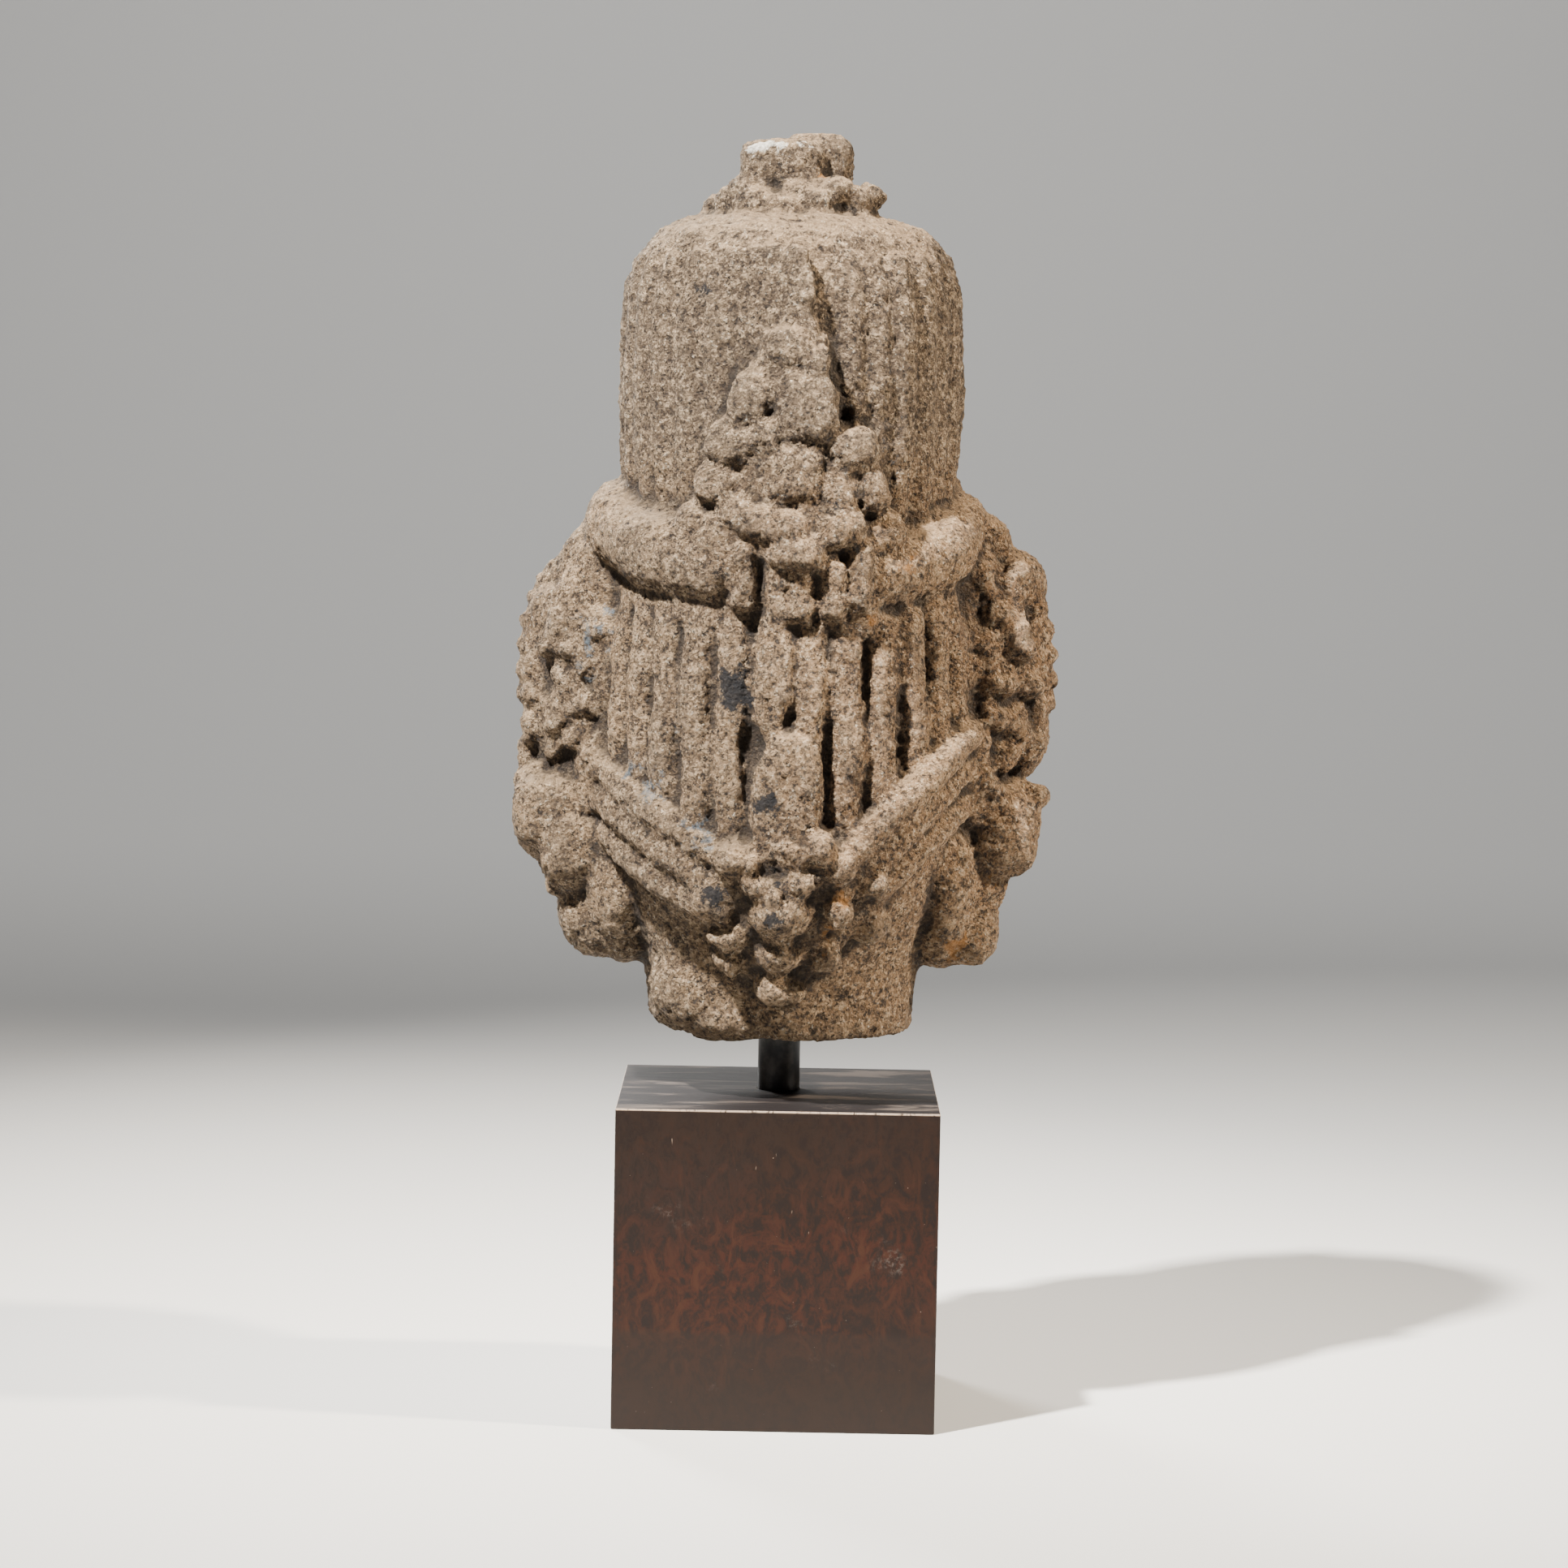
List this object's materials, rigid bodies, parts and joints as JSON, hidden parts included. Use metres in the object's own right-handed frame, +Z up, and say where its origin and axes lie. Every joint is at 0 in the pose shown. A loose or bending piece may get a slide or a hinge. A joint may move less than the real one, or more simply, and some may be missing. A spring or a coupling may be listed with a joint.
{
  "type": "carved stone bodhisattva head on a metal mount",
  "caption": "Carved stone head with a tall banded chignon, ribbons and flowers at the nape, standing on a steel rod in a patinated metal cube.",
  "frame": {"origin": "centre of the base block's underside", "axes": "+Z up along the mounting rod; -Y the way the face looks, so +Y is the nape; +X the head's own left seen from the front as right"},
  "size_m": [0.2091, 0.17, 0.4819],
  "materials": {
    "carved_stone": "weathered, granular volcanic stone",
    "blackened_steel": "blackened satin bar",
    "patinated_bronze": "red-brown mottled patina, waxed"
  },
  "bodies": {
    "root": {"stone_head": "carved_stone", "mounting_rod": "blackened_steel", "base_block": "patinated_bronze"}
  },
  "joints": []
}
